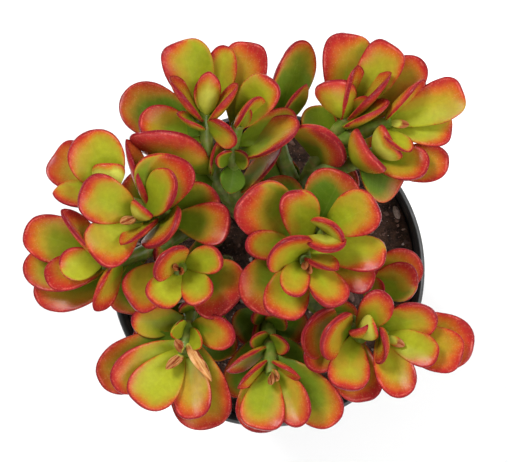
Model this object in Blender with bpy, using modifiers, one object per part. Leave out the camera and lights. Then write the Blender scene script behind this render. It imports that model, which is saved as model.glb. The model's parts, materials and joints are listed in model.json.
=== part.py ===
# A compact jade plant in a round black nursery pot, about 0.15 m tall.
# Metres, +Z up. The origin is at the centre of the pot's foot, on the surface it stands on.
# Tables of leaves and stems are in millimetres and degrees, and MM turns them into metres.

import math

import bmesh
import bpy
from mathutils import Matrix, Vector

MM = 0.001

# Pot: a thin moulded shell with a collar, a rolled lip and a raised drain channel in its floor.
POT_HEIGHT = 90.0
RIM_RADIUS = 55.0
COLLAR_RADIUS = 53.2
COLLAR_LOW = 78.0
SHOULDER_RADIUS = 51.6
FOOT_RADIUS = 38.5
WALL = 1.0
CHANNEL_INNER = 15.0
CHANNEL_OUTER = 32.0
CHANNEL_RISE = 2.0
DRAIN_RADIUS = 3.6
DRAIN_COUNT = 6
POT_SEGMENTS = 28

# Soil: fills the pot to under the rim, with a low dome and a few coarse bits lying in it.
SOIL_EDGE = 80.0
SOIL_CROWN = 82.5
SOIL_SEGMENTS = 28
GAP = 0.3

# Stems: a straight buried foot, a trunk, and shoots that grow thinner towards their tips.
STEM_BURIED = 14.0
TRUNK_RADIUS = 3.6
SHOOT_RADIUS = 3.1
TIP_RADIUS = 2.0
SPINE_STEP = 5.0
STEM_SIDES = 6

# Leaf blade: an obovate, fleshy paddle. Its width and its thickness are power curves along it.
WIDTH_ROOT_POWER = 0.90
WIDTH_TIP_POWER = 0.47
PLUMP_ROOT_POWER = 0.45
PLUMP_TIP_POWER = 0.40
THICKNESS_SHARE = 0.155
THICKNESS_LEAST = 1.0
UPPER_SHARE = 0.34
CUP_SHARE = 0.09
ARCH_SHARE = 0.07
BLADE_SIDES = 6
BLADE_RINGS = 6
BROAD_WIDTH = 17
ROOT_SINK = 1.5
ROOT_STAGGER = 0.09

# Each shoot: "spine" is its stem's centre line, from where it leaves its parent to its tip.
# Each leaf: distance of its root below the tip, where its own tip is, its width, its roll.
# At roll 0 the upper face looks up. A positive roll turns it to the right, seen from the root.
SHOOTS = {
    "shoot_back_left": {
        "spine": [(-10.5, 21.5, 97), (-18, 32, 111), (-20.5, 43, 125), (-20.5, 52.5, 132)],
        "leaves": [
            (0, (-19, 65, 145), 8, 170),
            (0, (-22, 63, 137), 7, 10),
            (2, (-32, 63, 144), 11, 72),
            (2, (-10, 60.5, 145), 10, -72),
            (3, (-29.2, 75.2, 139), 16.5, 5),
            (6, (-13.8, 74, 137), 10.5, -5),
            (3, (-10.5, 44, 140), 11, 50),
            (4, (-29.8, 51.5, 141), 8, 70),
            (6, (-48.6, 58, 128), 18, 0),
            (9, (-42.5, 50, 134), 14, 20),
            (25, (-44.0, 45.2, 139.5), 19, 104),
            (18, (-30, 61, 118), 12, 0),
            (27, (-17, 43, 129), 8, 60),
            (31, (-30, 38, 112), 14, 0),
            (26, (-26, 30, 117), 11, 0),
        ],
    },
    "shoot_back_middle": {
        "spine": [(-10.5, 21.5, 97), (-11.5, 31, 113), (-12, 41, 125), (-10, 49, 132)],
        "leaves": [
            (0, (-6, 53, 141), 5, 0),
            (1, (-4, 56.5, 145), 11, 75),
            (2, (0.5, 63, 142), 13, 0),
            (4, (-6.5, 75.5, 134), 15, 0),
            (12, (10, 48, 137), 15, -45),
            (8, (9, 52, 130), 10, -10),
            (33, (4.2, 41, 128), 9.5, -50),
            (16, (-13, 26, 122), 9, -25),
        ],
    },
    "shoot_left": {
        "spine": [(-19, 13, 99), (-28, 17, 115), (-37, 18.5, 127), (-44.5, 18, 134)],
        "leaves": [
            (0, (-40.5, 21.5, 143), 8.5, 0),
            (0, (-48, 16, 142), 5, 0),
            (3, (-60.5, 27, 145), 16, 0),
            (3, (-57.0, 5.6, 143), 16.5, 0),
            (4, (-30.5, 32, 146), 13, -30),
            (9, (-47.5, 9, 146), 9, 65),
            (8, (-32, 38.2, 140), 20, 5),
            (8, (-46.5, 43.5, 138), 12, 75),
            (12, (-33.3, 11, 144), 17.5, 36),
            (18, (-17, 26, 128), 15, 0),
            (14, (-12.8, 15.4, 131), 14.5, 0),
            (20, (-48, 31, 118), 14, 0),
        ],
    },
    "shoot_left_back": {
        "spine": [(-34, 18, 122), (-42, 21, 129), (-49, 24, 134), (-53, 26, 136)],
        "leaves": [
            (0, (-52, 35.5, 141.5), 11, 180),
            (2, (-70.3, 25.8, 139), 9.5, 20),
            (2, (-59.2, 45.8, 141), 18.5, 0),
            (4, (-70.6, 38.8, 132), 16, 0),
        ],
    },
    "shoot_left_front": {
        "spine": [(-25, 16, 110), (-36, 9, 119), (-47, 4.5, 128), (-55, 3, 132)],
        "leaves": [
            (0, (-68, 3, 141), 11, 0),
            (2, (-67, 20.2, 144), 12, 62),
            (4, (-80, 13.9, 134), 16, 0),
            (3, (-73, -2, 136), 12, 0),
            (7, (-81.0, 0.6, 128.6), 16, 0),
            (10, (-77.7, -8.6, 123.2), 17, 0),
            (6, (-57, -12, 138), 12, -60),
            (12, (-47, -14, 124), 13, 0),
            (18, (-61, -4, 117), 13, 0),
        ],
    },
    "shoot_middle_left": {
        "spine": [(-15, 2, 97), (-22, 4, 112), (-27, 3, 124), (-29.5, 1, 134)],
        "leaves": [
            (0, (-31, 2, 140), 3.5, 0),
            (0, (-28, 0, 140), 3.5, 0),
            (3, (-34.7, 5.0, 148), 14.5, -15),
            (3, (-15.5, 5.5, 141), 10, 10),
            (4, (-21, -9.5, 140), 11, 0),
            (4, (-37, -10, 141), 12, 0),
            (8, (-46, -9, 134), 15, 0),
            (10, (-11.5, -11, 131), 21, 0),
            (26, (-26, 8.8, 105.5), 10, 0),
        ],
    },
    "shoot_front_left": {
        "spine": [(-15, 2, 97), (-24, -8, 112), (-27, -19, 122), (-28, -28, 127)],
        "leaves": [
            (0, (-30.6, -22, 136), 4.5, 0),
            (0, (-33.5, -31.5, 136), 5, 0),
            (2, (-42.8, -42.8, 136), 16.5, 0),
            (4, (-18.6, -35.5, 137.5), 9, 66),
            (4, (-24.6, -48, 134), 13, 0),
            (4, (-51, -37, 134), 14.5, 0),
            (7, (-56, -36.4, 127), 17.5, 0),
            (7, (-19.3, -52, 126), 20, 0),
            (9, (-11, -20.5, 134), 12, 15),
            (12, (-45.5, -16.2, 127), 11, 0),
            (20, (-44, -27, 117), 14, 0),
            (24, (-14, -30, 108), 13, 0),
        ],
    },
    "shoot_front": {
        "spine": [(0.8, -11.5, 99), (0, -20, 112), (0.5, -28, 121), (1, -34, 126)],
        "leaves": [
            (0, (1.1, -36.6, 134), 4.5, 20),
            (0, (3.4, -35, 133), 4, 35),
            (2, (-3, -51.5, 133), 15, 0),
            (3, (11.5, -50, 133), 12.5, 10),
            (3, (10.6, -34.6, 134), 8, 66),
            (4, (-10.2, -37.8, 134), 7.5, -62),
            (5, (-4.0, -53, 127), 16.5, 0),
            (7, (22.9, -50, 125), 16, 0),
            (16, (12, -37, 113), 13, 0),
            (9, (-14, -32.5, 130), 9, -60),
            (30, (-5, -27, 117), 9, -40),
            (27, (-11, -22, 110), 14, 0),
            (25, (13, -21, 109), 13, 0),
            (18, (-13, -42, 113), 13, 0),
        ],
    },
    "shoot_right": {
        "spine": [(11.5, -7, 99), (18, -13, 114), (26, -18, 124), (31, -21.5, 131)],
        "leaves": [
            (0, (34.5, -16.8, 142), 8.5, 160),
            (0, (30.2, -17.5, 141.5), 8, -160),
            (3, (25, -38, 138), 14, 0),
            (2, (38, -6.5, 140), 11, 0),
            (5, (17.5, -20.5, 146), 17, -31),
            (6, (31.5, -42.5, 131), 16, 0),
            (12, (11, -20.5, 139), 18, -38),
            (14, (15, -33, 128), 12, 0),
            (20, (30, -31, 114), 13, 0),
            (13, (26, -9.5, 119.5), 10, 0),
        ],
    },
    "shoot_right_front": {
        "spine": [(20, -14.5, 116), (31, -18, 124), (39, -21.5, 129)],
        "leaves": [
            (0, (44.5, -24, 134), 3.2, 0),
            (1, (37.5, -26.5, 143), 12, 80),
            (2, (44.6, -40.4, 137), 13, 0),
            (2, (55, -27.5, 137), 11, 0),
            (3, (63.6, -27.4, 133), 15, 0),
            (4, (54.5, -13.5, 138), 14, 20),
            (6, (68, -24.3, 127), 19, 0),
        ],
    },
    "shoot_right_low": {
        "spine": [(11.5, -7, 99), (23, -5, 110), (34, -3, 117)],
        "leaves": [
            (0, (49.8, -2.8, 123), 13.5, 0),
            (2, (51.8, 2.4, 118), 14.5, 0),
            (1, (38, -8, 124), 8, 0),
            (4, (36, 5, 124), 8, 0),
        ],
    },
    "shoot_centre": {
        "spine": [(7, 10.8, 102), (9, 10, 118), (11, 7, 131), (12, 4, 141)],
        "leaves": [
            (0, (11.6, 1.2, 146), 3.8, 0),
            (0, (13.6, 0, 145), 3.8, 0),
            (3, (2.5, 9, 153), 17, -32),
            (6, (21.8, 1, 150), 9.5, -62),
            (4, (22.2, -10.6, 146), 13, -32),
            (4, (7, -7, 149), 10, 0),
            (6, (9, 26.5, 147), 13, 0),
            (8, (3.5, -14.5, 142), 15, 0),
            (9, (38, 5.8, 141), 12.2, 0),
            (11, (-6.5, -11.5, 137), 20, 0),
            (12, (-7.5, 9.5, 141), 10, 0),
            (12, (-7, 26, 143), 20, 0),
            (13, (34, -4, 137), 12, 0),
            (23, (28, -3, 123), 14, 0),
            (25, (2, 32, 116), 15, 0),
        ],
    },
    "shoot_centre_right": {
        "spine": [(8.5, 10.5, 114), (13, 13, 128), (19.3, 12.8, 140)],
        "leaves": [
            (0, (20.6, 15.4, 150.5), 13, 0),
            (0, (18.3, 7.4, 150), 13.5, 0),
            (3, (34.5, 22.5, 147), 15.5, 0),
            (8, (24, 33, 137), 19, 0),
        ],
    },
    "shoot_back_right": {
        "spine": [(11, 24.5, 99), (15, 35, 115), (22, 46, 127), (27, 52, 132)],
        "leaves": [
            (0, (32, 57, 142), 5, 0),
            (1, (18.6, 62, 143), 13.5, 150),
            (2, (40, 74, 141), 14, 0),
            (2, (39.5, 64.5, 145), 12, -75),
            (3, (28.5, 67, 143), 11, 70),
            (4, (38.5, 54.5, 144), 12, -70),
            (5, (26.3, 77.8, 138), 16.5, 0),
            (5, (51, 69, 133), 15, 0),
            (22, (19.5, 45.5, 136), 20, -16),
            (27, (34, 50, 113), 14, 0),
            (17, (16, 55.5, 124), 12, 0),
            (45, (30, 33, 112), 15, 0),
        ],
    },
    "shoot_right_back": {
        "spine": [(19, 41, 122), (28, 45, 130), (36, 48, 134), (40, 49.5, 136)],
        "leaves": [
            (0, (45.5, 48, 141), 3, 0),
            (1, (50, 62.5, 145), 11, 75),
            (2, (62.8, 58.8, 142.5), 14, 0),
            (2, (59.8, 46.6, 137), 12.5, 0),
            (3, (45, 39, 145), 10, -55),
        ],
    },
    "shoot_right_side": {
        "spine": [(15, 34, 114), (25, 35, 125), (32, 38, 131), (36, 40, 133)],
        "leaves": [
            (0, (39.8, 42.7, 144), 13, 180),
            (3, (52, 34.5, 138), 13, -20),
            (8, (32.5, 39.3, 145), 17, 180),
            (4, (59.2, 35.8, 132), 13, 0),
            (6, (44, 28.5, 125), 17, 0),
        ],
    },
    "shoot_back": {
        "spine": [(11, 24.5, 99), (5.2, 38, 112), (2.4, 49, 120)],
        "leaves": [
            (0, (11.6, 76.5, 130), 15, 32),
            (1, (12.5, 62, 132), 8, 60),
            (30, (0, 36, 112), 15, 0),
        ],
    },
}

# Each woody stem: its foot on the soil, where its trunk ends, and the shoots it carries.
STEMS = {
    "stem_back_left": {
        "foot": (-9, 20),
        "top": (-10.5, 21.5, 97),
        "shoots": ("shoot_back_left", "shoot_back_middle"),
    },
    "stem_left": {
        "foot": (-19, 11),
        "top": (-19, 13, 99),
        "shoots": ("shoot_left", "shoot_left_back", "shoot_left_front"),
    },
    "stem_middle_left": {
        "foot": (-14, -1),
        "top": (-15, 2, 97),
        "shoots": ("shoot_middle_left", "shoot_front_left"),
    },
    "stem_front": {
        "foot": (0, -10),
        "top": (0.8, -11.5, 99),
        "shoots": ("shoot_front",),
    },
    "stem_right": {
        "foot": (12, -5),
        "top": (11.5, -7, 99),
        "shoots": ("shoot_right", "shoot_right_front", "shoot_right_low"),
    },
    "stem_centre": {
        "foot": (6, 9),
        "top": (7, 10.8, 102),
        "shoots": ("shoot_centre", "shoot_centre_right"),
    },
    "stem_back_right": {
        "foot": (10, 22),
        "top": (11, 24.5, 99),
        "shoots": ("shoot_back_right", "shoot_right_back", "shoot_right_side", "shoot_back"),
    },
}

# Coarse bits in the soil: place on the soil, radius and turn.
SOIL_BITS = (
    (33, 22, 2.4, 20),
    (41, 14, 1.9, 75),
    (29, 28, 1.7, 130),
    (45, 22, 1.5, 40),
    (36, 31, 2.0, 95),
    (46, 6, 1.8, 10),
    (24, 20, 1.6, 60),
    (-6, 8, 1.8, 35),
    (16, -16, 1.7, 110),
    (-30, -40, 1.9, 80),
    (36, -34, 2.1, 25),
    (-42, -16, 1.6, 150),
)

COLOURS = {
    "pot": (0.012, 0.012, 0.013),
    "soil": (0.055, 0.028, 0.018),
    "stem_back_left": (0.36, 0.33, 0.04),
    "stem_left": (0.38, 0.36, 0.05),
    "stem_middle_left": (0.37, 0.35, 0.04),
    "stem_front": (0.38, 0.37, 0.05),
    "stem_right": (0.36, 0.31, 0.04),
    "stem_centre": (0.38, 0.30, 0.04),
    "stem_back_right": (0.39, 0.33, 0.05),
}


def smooth_line(points, step):
    """Points about a step apart on a Catmull-Rom curve through the given ones."""
    points = [Vector(p) for p in points]
    ends = [2 * points[0] - points[1], *points, 2 * points[-1] - points[-2]]
    line = []
    for a, b, c, d in zip(ends, ends[1:], ends[2:], ends[3:]):
        count = max(1, round((c - b).length / step))
        for i in range(count):
            t = i / count
            point = 2 * b + (c - a) * t
            point += (2 * a - 5 * b + 4 * c - d) * t ** 2
            point += (3 * b - a - 3 * c + d) * t ** 3
            line.append(point / 2)
    return [*line, points[-1]]


def below_tip(line, depth):
    """The point on the line this far below its end."""
    for low, high in zip(line[-2::-1], line[:0:-1]):
        length = (high - low).length
        if depth <= length or low is line[0]:
            return high.lerp(low, depth / length)
        depth -= length


def blade_axes(root, tip, roll):
    """The blade's length, width and upper-face directions, as the columns of a matrix."""
    along = (tip - root).normalized()
    face = Vector((0, 0, 1)) - along.z * along
    face = Matrix.Rotation(math.radians(roll), 3, along) @ face.normalized()
    return Matrix((along, face.cross(along), face)).transposed()


def power_bump(s, root_power, tip_power):
    """A curve that is 0 at both ends of the leaf and 1 at its highest."""
    peak = root_power / (root_power + tip_power)
    top = peak ** root_power * (1 - peak) ** tip_power
    return s ** root_power * max(0.0, 1 - s) ** tip_power / top


def blade_point(s, around, length, width):
    """A point of the blade's skin: s runs from root to tip, around is 0 and pi at the margins."""
    side = math.cos(around) * power_bump(s, WIDTH_ROOT_POWER, WIDTH_TIP_POWER)
    rise = math.sin(around) * power_bump(s, PLUMP_ROOT_POWER, PLUMP_TIP_POWER)
    rise *= width * THICKNESS_SHARE + THICKNESS_LEAST
    rise *= UPPER_SHARE if rise > 0 else 1 - UPPER_SHARE
    lift = CUP_SHARE * width * side * side - ARCH_SHARE * length * s * (1 - s)
    return Vector((length * s, width / 2 * side, rise + lift))


def blade_object(name, root, axes, length, width):
    """One leaf: a sphere primitive whose poles become the root and the tip."""
    bm = bmesh.new()
    rings = BLADE_RINGS if width >= BROAD_WIDTH else BLADE_RINGS - 1
    bmesh.ops.create_uvsphere(bm, u_segments=BLADE_SIDES, v_segments=rings, radius=1)
    for vert in bm.verts:
        s = min(1.0, max(0.0, (1 + vert.co.z) / 2))
        around = math.atan2(vert.co.y, vert.co.x)
        vert.co = (root + axes @ blade_point(s, around, length, width)) * MM
    bmesh.ops.recalc_face_normals(bm, faces=bm.faces)
    mesh = bpy.data.meshes.new(name)
    bm.to_mesh(mesh)
    bm.free()
    return bpy.data.objects.new(name, mesh)


def tube_object(name, line, radii):
    """A stem: a bevelled curve with filled caps, made a mesh and welded."""
    curve = bpy.data.curves.new(name, "CURVE")
    curve.dimensions = "3D"
    curve.bevel_depth = MM
    curve.bevel_resolution = (STEM_SIDES - 4) // 2
    curve.use_fill_caps = True
    spline = curve.splines.new("POLY")
    spline.points.add(len(line) - 1)
    for point, place, radius in zip(spline.points, line, radii):
        point.co = (*(place * MM), 1)
        point.radius = radius
    guide = bpy.data.objects.new(name + "_guide", curve)
    bpy.context.scene.collection.objects.link(guide)
    graph = bpy.context.evaluated_depsgraph_get()
    mesh = bpy.data.meshes.new_from_object(guide.evaluated_get(graph))
    bpy.data.objects.remove(guide)
    bm = bmesh.new()
    bm.from_mesh(mesh)
    bmesh.ops.remove_doubles(bm, verts=bm.verts, dist=1e-6)
    bmesh.ops.recalc_face_normals(bm, faces=bm.faces)
    bm.to_mesh(mesh)
    bm.free()
    return bpy.data.objects.new(name, mesh)


def turned_object(name, profile, segments, collection):
    """A body of revolution: the Screw modifier turns the profile round the Z axis."""
    mesh = bpy.data.meshes.new(name)
    points = [(r * MM, 0, z * MM) for r, z in profile]
    mesh.from_pydata(points, [(i, i + 1) for i in range(len(points) - 1)], [])
    obj = bpy.data.objects.new(name, mesh)
    collection.objects.link(obj)
    screw = obj.modifiers.new("turn", "SCREW")
    screw.axis = "Z"
    screw.angle = math.tau
    screw.steps = segments
    screw.render_steps = segments
    screw.use_merge_vertices = True
    screw.merge_threshold = 0.00001
    screw.use_normal_calculate = True
    apply_modifiers(obj)
    return obj


def apply_modifiers(obj):
    """Replaces the object's mesh with what its modifiers make, and removes them."""
    graph = bpy.context.evaluated_depsgraph_get()
    mesh = bpy.data.meshes.new_from_object(obj.evaluated_get(graph))
    obj.modifiers.clear()
    obj.data = mesh


def join_or_cut(obj, others, operation, solver="EXACT"):
    """One Boolean with a whole collection. The collection's objects are removed after it."""
    boolean = obj.modifiers.new(operation.lower(), "BOOLEAN")
    boolean.operation = operation
    boolean.operand_type = "COLLECTION"
    boolean.collection = others
    boolean.solver = solver
    apply_modifiers(obj)
    for other in list(others.objects):
        bpy.data.objects.remove(other)
    bpy.data.collections.remove(others)


def new_collection(name, parent):
    collection = bpy.data.collections.new(name)
    parent.children.link(collection)
    return collection


def cutter_collection(name, parent):
    collection = new_collection(name, parent)
    collection.hide_render = True
    return collection


def cylinder_cutter(name, x, y, low, high, radius, collection):
    """A plain round cutter between two heights."""
    bm = bmesh.new()
    place = Matrix.Translation(Vector((x, y, (low + high) / 2)) * MM)
    bmesh.ops.create_cone(
        bm,
        cap_ends=True,
        segments=16,
        radius1=radius * MM,
        radius2=radius * MM,
        depth=(high - low) * MM,
        matrix=place,
    )
    mesh = bpy.data.meshes.new(name)
    bm.to_mesh(mesh)
    bm.free()
    cutter = bpy.data.objects.new(name, mesh)
    cutter.display_type = "WIRE"
    cutter.hide_render = True
    collection.objects.link(cutter)


def make_pot(parts, cutters):
    """The pot's shell, from the middle of its inside floor over the rim to under its foot."""
    floor = WALL
    channel = WALL + CHANNEL_RISE
    inner_foot = FOOT_RADIUS - WALL
    profile = [
        (0, floor),
        (CHANNEL_INNER - 1.4, floor),
        (CHANNEL_INNER, channel),
        (CHANNEL_OUTER, channel),
        (CHANNEL_OUTER + 1.4, floor),
        (inner_foot - 1.0, floor),
        (inner_foot, floor + 1.0),
        (SHOULDER_RADIUS - WALL, COLLAR_LOW),
        (COLLAR_RADIUS - WALL, COLLAR_LOW + 1.6),
        (COLLAR_RADIUS - WALL + 0.4, POT_HEIGHT - 1.6),
        (COLLAR_RADIUS - WALL + 1.0, POT_HEIGHT - 0.4),
        (RIM_RADIUS - 1.4, POT_HEIGHT),
        (RIM_RADIUS - 0.4, POT_HEIGHT - 0.4),
        (RIM_RADIUS, POT_HEIGHT - 1.4),
        (RIM_RADIUS - 0.3, POT_HEIGHT - 2.6),
        (COLLAR_RADIUS + 0.4, POT_HEIGHT - 3.2),
        (COLLAR_RADIUS, COLLAR_LOW + 1.2),
        (COLLAR_RADIUS - 0.6, COLLAR_LOW - 0.2),
        (SHOULDER_RADIUS, COLLAR_LOW - 1.0),
        (FOOT_RADIUS, 1.2),
        (FOOT_RADIUS - 1.0, 0),
        (CHANNEL_OUTER + 1.8, 0),
        (CHANNEL_OUTER + 0.4, CHANNEL_RISE),
        (CHANNEL_INNER - 0.4, CHANNEL_RISE),
        (CHANNEL_INNER - 1.8, 0),
        (0, 0),
    ]
    pot = turned_object("pot", profile, POT_SEGMENTS, parts)
    drains = cutter_collection("drain_cutters", cutters)
    circle = (CHANNEL_INNER + CHANNEL_OUTER) / 2
    for i in range(DRAIN_COUNT):
        a = math.tau * (i + 0.5) / DRAIN_COUNT
        x, y = circle * math.cos(a), circle * math.sin(a)
        cylinder_cutter(f"drain_{i}", x, y, -2, channel + 2, DRAIN_RADIUS, drains)
    join_or_cut(pot, drains, "DIFFERENCE")


def soil_height(x, y):
    """The height of the soil's dome over a point, in millimetres."""
    share = min(1.0, math.hypot(x, y) / (COLLAR_RADIUS - WALL))
    return SOIL_CROWN + (SOIL_EDGE - SOIL_CROWN) * share * share


def make_soil(parts, cutters):
    """The soil plug, a gap clear of the pot all round, with a plain hole for each stem."""
    floor = WALL + GAP
    channel = floor + CHANNEL_RISE
    inner_foot = FOOT_RADIUS - WALL - GAP
    edge = COLLAR_RADIUS - WALL - GAP
    rings = [edge * share for share in (0.0, 0.25, 0.5, 0.75, 0.92, 1.0)]
    profile = [(r, soil_height(r, 0)) for r in rings]
    profile += [
        (edge - 0.1, COLLAR_LOW + 1.9),
        (SHOULDER_RADIUS - WALL - GAP - 0.1, COLLAR_LOW + 0.3),
        (inner_foot - 0.1, floor + 1.2),
        (inner_foot - 1.1, floor),
        (CHANNEL_OUTER + 1.6, floor),
        (CHANNEL_OUTER + 0.2, channel),
        (CHANNEL_INNER - 0.2, channel),
        (CHANNEL_INNER - 1.6, floor),
        (0, floor),
    ]
    soil = turned_object("soil", profile, SOIL_SEGMENTS, parts)
    bits = cutter_collection("soil_bits", cutters)
    for i, (x, y, radius, turn) in enumerate(SOIL_BITS):
        bm = bmesh.new()
        bmesh.ops.create_icosphere(bm, subdivisions=1, radius=radius * MM)
        bmesh.ops.scale(bm, vec=(1.0, 0.75, 0.6), verts=bm.verts)
        spin = Matrix.Rotation(math.radians(turn), 4, "Z")
        bmesh.ops.transform(bm, matrix=spin, verts=bm.verts)
        place = Vector((x, y, soil_height(x, y) + 0.15 * radius)) * MM
        bmesh.ops.translate(bm, vec=place, verts=bm.verts)
        mesh = bpy.data.meshes.new(f"bit_{i}")
        bm.to_mesh(mesh)
        bm.free()
        bits.objects.link(bpy.data.objects.new(f"bit_{i}", mesh))
    join_or_cut(soil, bits, "UNION")
    holes = cutter_collection("stem_holes", cutters)
    for name, stem in STEMS.items():
        x, y = stem["foot"]
        low = soil_height(x, y) - STEM_BURIED - GAP
        cylinder_cutter(name + "_hole", x, y, low, POT_HEIGHT, TRUNK_RADIUS + 2 * GAP, holes)
    join_or_cut(soil, holes, "DIFFERENCE")


def make_stem(name, stem, parts, cutters):
    """One rooted stem with all its shoots and leaves, joined into one closed body."""
    x, y = stem["foot"]
    ground = soil_height(x, y)
    rise = [Vector((x, y, ground - STEM_BURIED)), Vector((x, y, ground + 1))]
    rise += smooth_line([(x, y, ground + 3), stem["top"]], SPINE_STEP)
    body = tube_object(name, rise, [TRUNK_RADIUS] * len(rise))
    parts.objects.link(body)
    growth = cutter_collection(name + "_growth", cutters)
    for shoot_name in stem["shoots"]:
        shoot = SHOOTS[shoot_name]
        line = smooth_line(shoot["spine"], SPINE_STEP)
        steps = len(line) - 1
        radii = [SHOOT_RADIUS + (TIP_RADIUS - SHOOT_RADIUS) * i / steps for i in range(steps + 1)]
        growth.objects.link(tube_object(shoot_name, line, radii))
        for i, (depth, tip, width, roll) in enumerate(shoot["leaves"]):
            root = below_tip(line, depth + ROOT_SINK + ROOT_STAGGER * i)
            axes = blade_axes(root, Vector(tip), roll)
            length = (Vector(tip) - root).length
            growth.objects.link(blade_object(f"{shoot_name}_{i}", root, axes, length, width))
    join_or_cut(body, growth, "UNION", "MANIFOLD")


def paint(obj):
    """Gives the object its own material."""
    material = bpy.data.materials.new(obj.name + "_material")
    material.use_nodes = True
    shader = material.node_tree.nodes["Principled BSDF"]
    shader.inputs["Base Color"].default_value = (*COLOURS[obj.name], 1)
    shader.inputs["Roughness"].default_value = 0.9 if obj.name == "soil" else 0.4
    obj.data.materials.clear()
    obj.data.materials.append(material)


def main():
    for obj in list(bpy.data.objects):
        bpy.data.objects.remove(obj)
    scene = bpy.context.scene.collection
    parts = new_collection("potted_jade_plant", scene)
    cutters = cutter_collection("cutters", scene)
    make_pot(parts, cutters)
    make_soil(parts, cutters)
    for name, stem in STEMS.items():
        make_stem(name, stem, parts, cutters)
    for obj in parts.objects:
        paint(obj)


if __name__ == "__main__":
    main()
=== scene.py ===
# Jade plant in a nursery pot: the finished look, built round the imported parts.
# Lengths in the tables are millimetres and angles are degrees. mm turns them into metres.
import json
import math
import random
from types import SimpleNamespace

import bmesh
import bpy
from mathutils import Matrix, Vector

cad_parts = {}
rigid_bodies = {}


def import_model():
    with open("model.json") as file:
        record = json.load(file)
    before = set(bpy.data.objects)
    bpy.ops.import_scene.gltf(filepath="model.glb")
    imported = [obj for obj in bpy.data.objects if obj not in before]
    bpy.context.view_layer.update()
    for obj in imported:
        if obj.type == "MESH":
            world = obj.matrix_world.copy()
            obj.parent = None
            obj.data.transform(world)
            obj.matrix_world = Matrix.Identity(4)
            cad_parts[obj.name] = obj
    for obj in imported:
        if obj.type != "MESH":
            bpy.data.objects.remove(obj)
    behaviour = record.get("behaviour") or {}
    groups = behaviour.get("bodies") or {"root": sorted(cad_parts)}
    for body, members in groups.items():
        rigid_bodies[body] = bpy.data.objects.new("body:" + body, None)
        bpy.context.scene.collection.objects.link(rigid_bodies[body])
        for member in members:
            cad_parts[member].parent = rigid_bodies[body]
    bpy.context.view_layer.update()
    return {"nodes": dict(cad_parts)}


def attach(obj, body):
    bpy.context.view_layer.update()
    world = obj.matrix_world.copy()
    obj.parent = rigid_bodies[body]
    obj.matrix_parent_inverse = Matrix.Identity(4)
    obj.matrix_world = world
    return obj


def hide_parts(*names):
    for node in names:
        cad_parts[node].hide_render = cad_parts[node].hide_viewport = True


mm = 0.001
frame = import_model()
print("stage: frame loaded,", len(frame["nodes"]), "nodes")

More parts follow.
